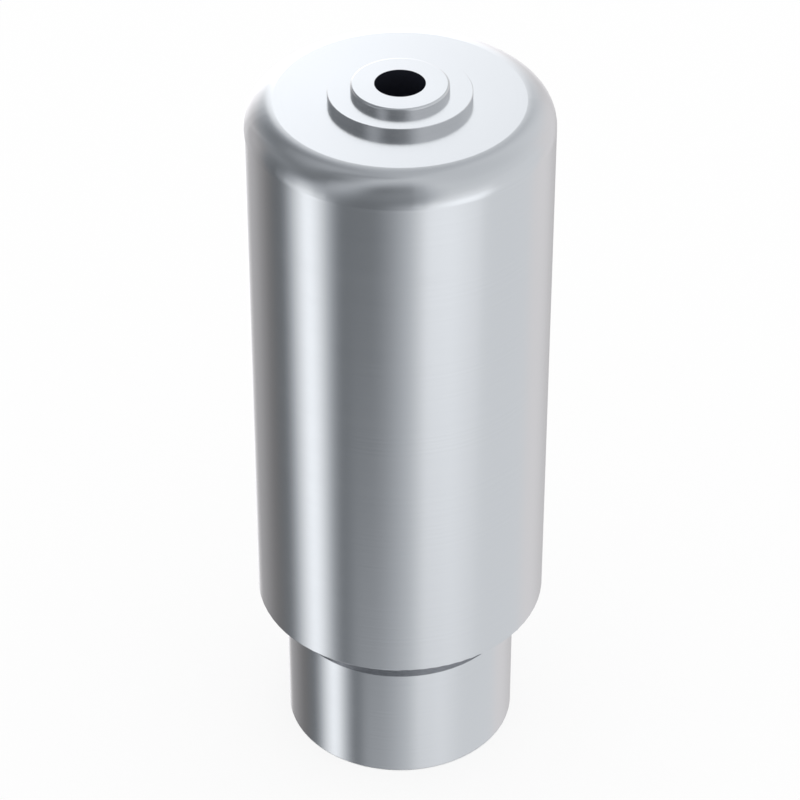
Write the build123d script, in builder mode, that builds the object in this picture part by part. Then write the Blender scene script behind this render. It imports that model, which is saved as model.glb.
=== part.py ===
from build123d import *

import os

# Dental abutment blank: one piece turned from titanium bar.
#
# The thick cylinder is the stock that a dental lab mills into an abutment. Its upper end is
# finished already: a flat platform with two low round steps, which meet the implant, and the
# hole for the abutment screw. Its lower end is a thinner shank, which a milling machine's
# holder clamps, with a relief groove under the shoulder so that the shoulder seats flat.
# The screw's way runs right through: wide from the shank end, for the screw's head and the
# screwdriver, then narrow from the screw seat up to the platform.
#
# Millimetres. The origin is the centre of the shank's end face, and +Z points to the platform.

# Body
body_diameter = 10.0
body_length = 19.8  # shoulder to platform
crown_radius = 0.95  # rounding between the body's side and the platform
shoulder_edge_radius = 0.05

# Shank
shank_diameter = 8.0
shank_length = 5.6  # end face to shoulder
shank_end_chamfer = 0.03

# Relief groove, in the shank right under the shoulder
relief_width = 1.15
relief_depth = 0.4
relief_corner_radius = 0.08

# Two steps on the platform
platform_step_diameter = 4.64
platform_step_height = 0.3
platform_step_edge_chamfer = 0.02
pilot_step_diameter = 3.16
pilot_step_height = 0.25
pilot_step_edge_radius = 0.07

# Way of the abutment screw
screw_bore_diameter = 1.64  # a sharp edge at its mouth
screw_channel_diameter = 2.4
screw_seat_depth = 2.0  # platform down to the seat under the screw's head
screw_seat_edge_chamfer = 0.05
channel_mouth_chamfer = 0.15

# Radii and heights that follow
body_radius = body_diameter / 2
shank_radius = shank_diameter / 2
relief_radius = shank_radius - relief_depth
platform_step_radius = platform_step_diameter / 2
pilot_step_radius = pilot_step_diameter / 2
screw_bore_radius = screw_bore_diameter / 2
screw_channel_radius = screw_channel_diameter / 2

shoulder_height = shank_length
relief_floor_height = shoulder_height - relief_width
platform_height = shoulder_height + body_length
platform_step_top = platform_height + platform_step_height
pilot_step_top = platform_step_top + pilot_step_height
screw_seat_height = platform_height - screw_seat_depth

match_tolerance = 1e-4


def round_edges(part, radius, height):
    """The part's circular edges of this radius, centred on its axis at this height."""

    def matches(edge):
        same_radius = abs(edge.radius - radius) < match_tolerance
        return same_radius and abs(edge.arc_center.Z - height) < match_tolerance

    return part.edges().filter_by(GeomType.CIRCLE).filter_by(matches)


with BuildPart() as abutment_blank:
    # Turned outside, from the shank's end face up to the pilot step
    with BuildSketch(Plane.XZ):
        with BuildLine():
            Polyline(
                (0, 0),
                (shank_radius, 0),
                (shank_radius, relief_floor_height),
                (relief_radius, relief_floor_height),
                (relief_radius, shoulder_height),
                (body_radius, shoulder_height),
                (body_radius, platform_height),
                (platform_step_radius, platform_height),
                (platform_step_radius, platform_step_top),
                (pilot_step_radius, platform_step_top),
                (pilot_step_radius, pilot_step_top),
                (0, pilot_step_top),
                close=True,
            )
        make_face()
    revolve(axis=Axis.Z)

    # The crown, and the broken edge where the side meets the shoulder
    fillet(round_edges(abutment_blank, body_radius, platform_height), crown_radius)
    fillet(round_edges(abutment_blank, body_radius, shoulder_height), shoulder_edge_radius)

    # Top edges of the steps: the pilot step's is rounded, so that it finds its recess
    fillet(round_edges(abutment_blank, pilot_step_radius, pilot_step_top), pilot_step_edge_radius)
    chamfer(
        round_edges(abutment_blank, platform_step_radius, platform_step_top),
        platform_step_edge_chamfer,
    )

    # Both corners at the bottom of the relief groove
    fillet(
        round_edges(abutment_blank, relief_radius, relief_floor_height)
        + round_edges(abutment_blank, relief_radius, shoulder_height),
        relief_corner_radius,
    )

    # The screw's way, drilled upwards from the shank's end face
    with Locations(Plane.XY.reverse()):
        CounterBoreHole(
            radius=screw_bore_radius,
            counter_bore_radius=screw_channel_radius,
            counter_bore_depth=screw_seat_height,
            depth=pilot_step_top,
        )
    chamfer(
        round_edges(abutment_blank, screw_bore_radius, screw_seat_height),
        screw_seat_edge_chamfer,
    )

    # Broken edges at the shank's end
    chamfer(round_edges(abutment_blank, screw_channel_radius, 0), channel_mouth_chamfer)
    chamfer(round_edges(abutment_blank, shank_radius, 0), shank_end_chamfer)

abutment_blank.part.label = "abutment_blank"

os.makedirs("parts", exist_ok=True)
export_step(abutment_blank.part, "parts/abutment_blank.step")
print("volume", round(abutment_blank.part.volume, 2), "mm3")
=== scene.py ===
import math
import bpy
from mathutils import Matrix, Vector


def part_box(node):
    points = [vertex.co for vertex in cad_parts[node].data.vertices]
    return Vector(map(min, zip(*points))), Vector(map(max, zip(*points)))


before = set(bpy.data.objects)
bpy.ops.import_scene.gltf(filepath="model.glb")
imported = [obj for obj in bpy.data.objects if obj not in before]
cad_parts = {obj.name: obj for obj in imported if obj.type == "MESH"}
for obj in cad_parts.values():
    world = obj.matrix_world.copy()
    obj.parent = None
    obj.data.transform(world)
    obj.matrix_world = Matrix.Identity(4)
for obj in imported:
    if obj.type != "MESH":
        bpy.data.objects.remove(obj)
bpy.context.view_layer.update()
print("frame loaded")

mm = 0.001


# Node helpers

def newMaterial(name):
    material = bpy.data.materials.new(name)
    material.use_nodes = True
    material.node_tree.nodes.clear()
    return material, material.node_tree


def addNode(tree, kind, **settings):
    node = tree.nodes.new(kind)
    for key, value in settings.items():
        setattr(node, key, value)
    return node


def plug(tree, value, socket):
    # Links another node's output, or sets a plain number or colour
    if isinstance(value, bpy.types.NodeSocket):
        tree.links.new(value, socket)
    else:
        socket.default_value = value


def calc(tree, operation, *values):
    node = addNode(tree, "ShaderNodeMath", operation=operation)
    for value, socket in zip(values, node.inputs):
        plug(tree, value, socket)
    return node.outputs[0]


def remap(tree, value, low, high, atLow=0.0, atHigh=1.0, easing="LINEAR"):
    node = addNode(tree, "ShaderNodeMapRange", interpolation_type=easing)
    plug(tree, value, node.inputs["Value"])
    node.inputs["From Min"].default_value = low
    node.inputs["From Max"].default_value = high
    node.inputs["To Min"].default_value = atLow
    node.inputs["To Max"].default_value = atHigh
    return node.outputs["Result"]


def smoothGate(tree, value, inner, outer):
    # 1 up to inner, then easing down to 0 at outer
    return remap(tree, value, inner, outer, 1.0, 0.0, "SMOOTHSTEP")


def splitVector(tree, vector):
    node = addNode(tree, "ShaderNodeSeparateXYZ")
    plug(tree, vector, node.inputs[0])
    return node.outputs["X"], node.outputs["Y"], node.outputs["Z"]


def mixColor(tree, factor, first, second):
    node = addNode(tree, "ShaderNodeMix", data_type="RGBA")
    plug(tree, factor, node.inputs[0])
    plug(tree, first, node.inputs[6])       # 6 and 7 are the two colours it mixes
    plug(tree, second, node.inputs[7])
    return node.outputs[2]


def mixShaders(tree, factor, first, second):
    node = addNode(tree, "ShaderNodeMixShader")
    plug(tree, factor, node.inputs[0])
    plug(tree, first, node.inputs[1])
    plug(tree, second, node.inputs[2])
    return node.outputs[0]


def noiseAlong(tree, place, perMetre, detail, strength):
    # Uneven lines across one direction, between -0.5 and 0.5 at full strength
    node = addNode(tree, "ShaderNodeTexNoise", noise_dimensions="1D")
    plug(tree, calc(tree, "MULTIPLY", place, perMetre), node.inputs["W"])
    node.inputs["Scale"].default_value = 1.0
    node.inputs["Detail"].default_value = detail
    return calc(tree, "MULTIPLY", calc(tree, "SUBTRACT", node.outputs["Fac"], 0.5), strength)


# Titanium, finely turned: every mark runs round the axis

turned = {
    "color": (0.757, 0.762, 0.772, 1.0),
    "markColor": (0.745, 0.75, 0.76, 1.0),
    "roughness": 0.2,
    "anisotropy": 0.4,              # the lines spread reflections along the axis
    "acrossMarks": 0.25,            # of a turn, from the way the lines run
    "marks": 1 / (0.09 * mm),       # the finishing cut's fine lines
    "markDetail": 2.0,
    "markReach": 0.15,              # how far from its middle the noise has its full colour
    "markDepth": 0.0005 * mm,
    "passes": 1 / (0.9 * mm),       # broader rings where the cut changed slightly
    "passDetail": 1.0,
    "passRoughness": 0.015,
    "facedShare": 0.35,             # what the finer cut over the flats leaves of both
    "facedSmoother": 0.01,          # and how much less rough it leaves them
    "facedFrom": 0.9,               # facing up or down this much begins to count as flat
    "grain": 1 / (0.12 * mm),
    "grainDetail": 2.0,
    "grainRoughness": 0.02,
}

edge = 0.01 * mm        # over which one finish passes into the next
shoulderHeight = 5.6 * mm
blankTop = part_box("abutment_blank")[1][2]

# The groove under the shoulder comes off the grooving tool a little rougher; its darker colour is
# painted shade, for the shade under the overhanging shoulder
relief = {
    "color": (0.64, 0.645, 0.66, 1.0),
    "bottom": shoulderHeight - 1.15 * mm - edge,
    "top": shoulderHeight + edge,
    "addedRoughness": 0.04,
}

# Painted shade: inside the bore the colour is dark and bluish for the shade deep in the hole, and
# a small non-metal share lets that colour show
shadedBore = {
    "color": (0.22, 0.24, 0.32, 1.0),
    "radius": 0.825 * mm,           # just outside its wall
    "top": blankTop - 0.02 * mm,    # just below its mouth
    "metallic": 0.94,
}


def makeTitanium():
    material, tree = newMaterial("turnedTitanium")
    coordinates = addNode(tree, "ShaderNodeTexCoord")
    place = coordinates.outputs["Object"]
    x, y, height = splitVector(tree, place)
    radius = calc(tree, "SQRT", calc(tree, "MULTIPLY_ADD", x, x, calc(tree, "MULTIPLY", y, y)))

    # How far up or down the surface faces: 0 on the sides, 1 on the flats
    flatness = calc(tree, "ABSOLUTE", splitVector(tree, coordinates.outputs["Normal"])[2])
    faced = calc(tree, "SUBTRACT", 1.0, smoothGate(tree, flatness, turned["facedFrom"], 1.0))
    cut = calc(tree, "MULTIPLY_ADD", flatness, turned["facedShare"] - 1, 1.0)

    # Grows outwards over the flats and down the sides, so its rings follow the lathe tool
    path = calc(tree, "SUBTRACT", radius, height)
    marks = noiseAlong(tree, path, turned["marks"], turned["markDetail"], cut)
    passes = noiseAlong(tree, path, turned["passes"], turned["passDetail"], cut)
    noise = addNode(tree, "ShaderNodeTexNoise")
    plug(tree, place, noise.inputs["Vector"])
    noise.inputs["Scale"].default_value = turned["grain"]
    noise.inputs["Detail"].default_value = turned["grainDetail"]
    grain = calc(tree, "SUBTRACT", noise.outputs["Fac"], 0.5)

    inRelief = calc(tree, "MULTIPLY",
                    smoothGate(tree, height, relief["top"], relief["top"] + edge),
                    smoothGate(tree, height, relief["bottom"], relief["bottom"] - edge))
    inBore = calc(tree, "MULTIPLY",
                  smoothGate(tree, radius, shadedBore["radius"], shadedBore["radius"] + edge),
                  smoothGate(tree, height, shadedBore["top"], shadedBore["top"] + edge))

    contrast = remap(tree, marks, -turned["markReach"], turned["markReach"])
    color = mixColor(tree, contrast, turned["markColor"], turned["color"])
    # Painted shade: the groove under the shoulder is coloured darker
    color = mixColor(tree, inRelief, color, relief["color"])
    # Painted shade inside the bore
    color = mixColor(tree, inBore, color, shadedBore["color"])

    # The noises reach 0.5 either way, so doubled settings give the settings' own reach
    rough = calc(tree, "MULTIPLY_ADD", passes, 2 * turned["passRoughness"], turned["roughness"])
    rough = calc(tree, "MULTIPLY_ADD", grain, 2 * turned["grainRoughness"], rough)
    rough = calc(tree, "MULTIPLY_ADD", faced, -turned["facedSmoother"], rough)
    rough = calc(tree, "MULTIPLY_ADD", inRelief, relief["addedRoughness"], rough)
    # Less metal in the bore, so its painted shade colour shows
    metallic = calc(tree, "MULTIPLY_ADD", inBore, shadedBore["metallic"] - 1, 1.0)

    bump = addNode(tree, "ShaderNodeBump")
    bump.inputs["Strength"].default_value = 1.0
    bump.inputs["Distance"].default_value = turned["markDepth"]
    plug(tree, marks, bump.inputs["Height"])
    tangent = addNode(tree, "ShaderNodeTangent", direction_type="RADIAL", axis="Z")

    shader = addNode(tree, "ShaderNodeBsdfPrincipled")
    shader.inputs["Anisotropic"].default_value = turned["anisotropy"]
    shader.inputs["Anisotropic Rotation"].default_value = turned["acrossMarks"]
    plug(tree, metallic, shader.inputs["Metallic"])
    plug(tree, color, shader.inputs["Base Color"])
    plug(tree, rough, shader.inputs["Roughness"])
    plug(tree, bump.outputs["Normal"], shader.inputs["Normal"])
    plug(tree, tangent.outputs["Tangent"], shader.inputs["Tangent"])
    output = addNode(tree, "ShaderNodeOutputMaterial")
    plug(tree, shader.outputs["BSDF"], output.inputs["Surface"])
    return material


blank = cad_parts["abutment_blank"]
blank.data.materials.clear()
blank.data.materials.append(makeTitanium())
print("blank finished")


# Studio: what the metal mirrors. Azimuth 0 faces the camera and 90 is on the right, in degrees

studio = {
    "darkSide": 0.18,                           # left
    "brightSide": 0.77,                         # right
    "sideMiddle": 22,                           # where the one passes into the other
    "sideEdge": 16,
    "dimTint": (0.93, 0.998, 1.079, 1.0),       # the dimmer parts are the bluer ones
    "brightTint": (0.967, 1.0, 1.038, 1.0),
    "dimLevel": 0.2,
    "brightLevel": 0.8,
    "neutralTint": (1.014, 1.0, 1.018, 1.0),    # behind the object and low down
    "neutralMiddle": -177,
    "neutralHalfWidth": 69,
    "neutralSideEdge": 8,
    "neutralTop": 18,
    "neutralTopEdge": 15,
    "plainColor": (1.0, 1.0, 1.0, 1.0),         # for all but reflections
    "plainStrength": 1.0,
    # Soft panels, fitted to the bands that the photographed metal shows, then rounded. Each is
    # mixed over those before it. It fades from sideEdge inside its half width to sideEdge
    # outside it, likewise at its ends, and moves round by lean for each degree that it rises
    "panels": {
        "backLeftDim": dict(azimuth=-153, halfWidth=44, sideEdge=19,
                            elevation=-12, halfHeight=33, endEdge=23, strength=0.5, lean=0.7),
        "darkLeft": dict(azimuth=-88, halfWidth=15, sideEdge=24,
                         elevation=-11, halfHeight=29, endEdge=19, strength=0.12, lean=-0.4),
        "leftStrip": dict(azimuth=-71, halfWidth=13, sideEdge=16,
                          elevation=-33, halfHeight=30, endEdge=34, strength=1.4, lean=0.1),
        "darkCentre": dict(azimuth=-35, halfWidth=20, sideEdge=14,
                           elevation=-41, halfHeight=3, endEdge=12, strength=0.11, lean=0.6),
        "leftUpper": dict(azimuth=-35, halfWidth=12, sideEdge=13,
                          elevation=68, halfHeight=70, endEdge=46, strength=0.51, lean=0.2),
        "frontGlow": dict(azimuth=21, halfWidth=3, sideEdge=41,
                          elevation=-32, halfHeight=17, endEdge=39, strength=1.89, lean=0.2),
        "frontFloor": dict(azimuth=4, halfWidth=42, sideEdge=10,
                           elevation=-63, halfHeight=19, endEdge=12, strength=0.68, lean=-0.2),
        "rightUpper": dict(azimuth=114, halfWidth=58, sideEdge=46,
                           elevation=77, halfHeight=49, endEdge=46, strength=0.62, lean=1),
        "ceiling": dict(azimuth=-38, halfWidth=72, sideEdge=46,
                        elevation=104, halfHeight=40, endEdge=23, strength=0.6, lean=-1.1),
        "upperBackLeft": dict(azimuth=-141, halfWidth=29, sideEdge=18,
                              elevation=79, halfHeight=30, endEdge=21, strength=0.42, lean=-1),
        "upperBack": dict(azimuth=177, halfWidth=23, sideEdge=22,
                          elevation=55, halfHeight=82, endEdge=2, strength=0.51, lean=-0.1),
        "rimBackRight": dict(azimuth=169, halfWidth=14, sideEdge=8,
                             elevation=-16, halfHeight=12, endEdge=7, strength=0.77, lean=0),
        "backWall": dict(azimuth=-172, halfWidth=8, sideEdge=12,
                         elevation=-6, halfHeight=41, endEdge=15, strength=1.89, lean=-0.1),
        "backWallRight": dict(azimuth=192, halfWidth=16, sideEdge=22,
                              elevation=0, halfHeight=22, endEdge=16, strength=1.9, lean=-0.2),
        "glowEdge": dict(azimuth=51, halfWidth=13, sideEdge=4,
                         elevation=-18, halfHeight=7, endEdge=27, strength=1.15, lean=0.1),
        "rimBackLeft": dict(azimuth=-159, halfWidth=2, sideEdge=2,
                            elevation=-41, halfHeight=43, endEdge=46, strength=0.69, lean=0.6),
        "dimStrip": dict(azimuth=-89, halfWidth=2, sideEdge=27,
                         elevation=-3, halfHeight=15, endEdge=22, strength=0.23, lean=-0.8),
        "glowFoot": dict(azimuth=46, halfWidth=16, sideEdge=12,
                         elevation=-22, halfHeight=6, endEdge=5, strength=1.27, lean=0.8),
    },
}


def wrapTurn(tree, angle):
    # The same direction, as degrees up to half a turn either way
    return calc(tree, "WRAP", angle, 180.0, -180.0)


def gateAround(tree, value, half, fade):
    # 1 in the middle, easing down to 0 round half
    return smoothGate(tree, calc(tree, "ABSOLUTE", value), half - fade, half + fade)


def addPanel(tree, level, azimuth, elevation, panel):
    rise = calc(tree, "SUBTRACT", elevation, panel["elevation"])
    offset = calc(tree, "SUBTRACT", azimuth, panel["azimuth"])
    offset = calc(tree, "SUBTRACT", offset, calc(tree, "MULTIPLY", rise, panel["lean"]))
    gate = calc(tree, "MULTIPLY",
                gateAround(tree, wrapTurn(tree, offset), panel["halfWidth"], panel["sideEdge"]),
                gateAround(tree, rise, panel["halfHeight"], panel["endEdge"]))
    change = calc(tree, "SUBTRACT", panel["strength"], level)
    return calc(tree, "MULTIPLY_ADD", change, gate, level)


def tintStudio(tree, level, azimuth, elevation):
    bright = remap(tree, level, studio["dimLevel"], studio["brightLevel"])
    tint = mixColor(tree, bright, studio["dimTint"], studio["brightTint"])
    offset = wrapTurn(tree, calc(tree, "SUBTRACT", azimuth, studio["neutralMiddle"]))
    top, fade = studio["neutralTop"], studio["neutralTopEdge"]
    neutral = calc(tree, "MULTIPLY",
                   gateAround(tree, offset, studio["neutralHalfWidth"], studio["neutralSideEdge"]),
                   smoothGate(tree, elevation, top - fade, top + fade))
    return mixColor(tree, neutral, tint, studio["neutralTint"])


def makeStudio():
    world = bpy.data.worlds.new("studio")
    bpy.context.scene.world = world
    world.use_nodes = True
    tree = world.node_tree
    tree.nodes.clear()
    direction = addNode(tree, "ShaderNodeTexCoord").outputs["Generated"]
    right, away, up = splitVector(tree, direction)
    towardsCamera = calc(tree, "MULTIPLY", away, -1.0)
    azimuth = calc(tree, "DEGREES", calc(tree, "ARCTAN2", right, towardsCamera))
    elevation = calc(tree, "DEGREES", calc(tree, "ARCSINE", up))

    dark, bright = studio["darkSide"], studio["brightSide"]
    middle, fade = studio["sideMiddle"], studio["sideEdge"]
    side = smoothGate(tree, azimuth, middle + fade, middle - fade)
    level = calc(tree, "MULTIPLY_ADD", side, bright - dark, dark)
    for panel in studio["panels"].values():
        level = addPanel(tree, level, azimuth, elevation, panel)

    mirrored = addNode(tree, "ShaderNodeBackground")
    plug(tree, tintStudio(tree, level, azimuth, elevation), mirrored.inputs["Color"])
    plug(tree, level, mirrored.inputs["Strength"])
    plain = addNode(tree, "ShaderNodeBackground")
    plain.inputs["Color"].default_value = studio["plainColor"]
    plain.inputs["Strength"].default_value = studio["plainStrength"]
    glossy = addNode(tree, "ShaderNodeLightPath").outputs["Is Glossy Ray"]
    seen = mixShaders(tree, glossy, plain.outputs[0], mirrored.outputs[0])
    output = addNode(tree, "ShaderNodeOutputWorld")
    plug(tree, seen, output.inputs["Surface"])


makeStudio()
print("studio lit")


# Floor: white to the camera, with a soft shadow round the foot, and left out of the reflections

floorSettings = {
    "size": 4.0,
    "color": (0.98, 0.98, 0.98, 1.0),
    "shadowShare": 0.17,
    "whiteStrength": 1.0,
    "hiddenRadius": 4 * mm,     # under the object it stays dark
    "hiddenEdge": 0.01 * mm,
}


def makeFloor():
    half = floorSettings["size"] / 2
    corners = [(-half, -half, 0), (half, -half, 0), (half, half, 0), (-half, half, 0)]
    mesh = bpy.data.meshes.new("floor")
    mesh.from_pydata(corners, [], [(0, 1, 2, 3)])
    floor = bpy.data.objects.new("floor", mesh)
    bpy.context.scene.collection.objects.link(floor)

    material, tree = newMaterial("paleFloor")
    diffuse = addNode(tree, "ShaderNodeBsdfDiffuse")
    diffuse.inputs["Color"].default_value = floorSettings["color"]
    white = addNode(tree, "ShaderNodeEmission")
    white.inputs["Strength"].default_value = floorSettings["whiteStrength"]
    clear = addNode(tree, "ShaderNodeBsdfTransparent")

    fromAxis = addNode(tree, "ShaderNodeVectorMath", operation="LENGTH")
    plug(tree, addNode(tree, "ShaderNodeTexCoord").outputs["Object"], fromAxis.inputs[0])
    rim, fade = floorSettings["hiddenRadius"], floorSettings["hiddenEdge"]
    hidden = smoothGate(tree, fromAxis.outputs["Value"], rim - fade, rim)
    outside = calc(tree, "SUBTRACT", 1.0, hidden)

    path = addNode(tree, "ShaderNodeLightPath")
    whiteShare = calc(tree, "MULTIPLY", outside, 1 - floorSettings["shadowShare"])
    whiteShare = calc(tree, "MULTIPLY", path.outputs["Is Camera Ray"], whiteShare)
    clearShare = calc(tree, "MULTIPLY", path.outputs["Is Glossy Ray"], outside)
    solid = mixShaders(tree, whiteShare, diffuse.outputs[0], white.outputs[0])
    output = addNode(tree, "ShaderNodeOutputMaterial")
    plug(tree, mixShaders(tree, clearShare, solid, clear.outputs[0]), output.inputs["Surface"])
    mesh.materials.append(material)


makeFloor()
print("floor laid")


# Camera

view = {
    "distance": 87.43 * mm,
    "height": 79.55 * mm,
    "tilt": 37.104,             # degrees down from level
    "lens": 145.6,
    "sensorWidth": 36.0,
    "nearest": 1 * mm,          # nothing nearer is drawn
}


def makeCamera():
    lens = bpy.data.cameras.new("camera")
    lens.sensor_width = view["sensorWidth"]
    lens.lens = view["lens"]
    lens.clip_start = view["nearest"]
    camera = bpy.data.objects.new("camera", lens)
    camera.location = (0, -view["distance"], view["height"])
    camera.rotation_euler = (math.radians(90 - view["tilt"]), 0, 0)
    bpy.context.scene.collection.objects.link(camera)
    bpy.context.scene.camera = camera


makeCamera()
bpy.context.scene.view_settings.view_transform = "Standard"
print("camera set")
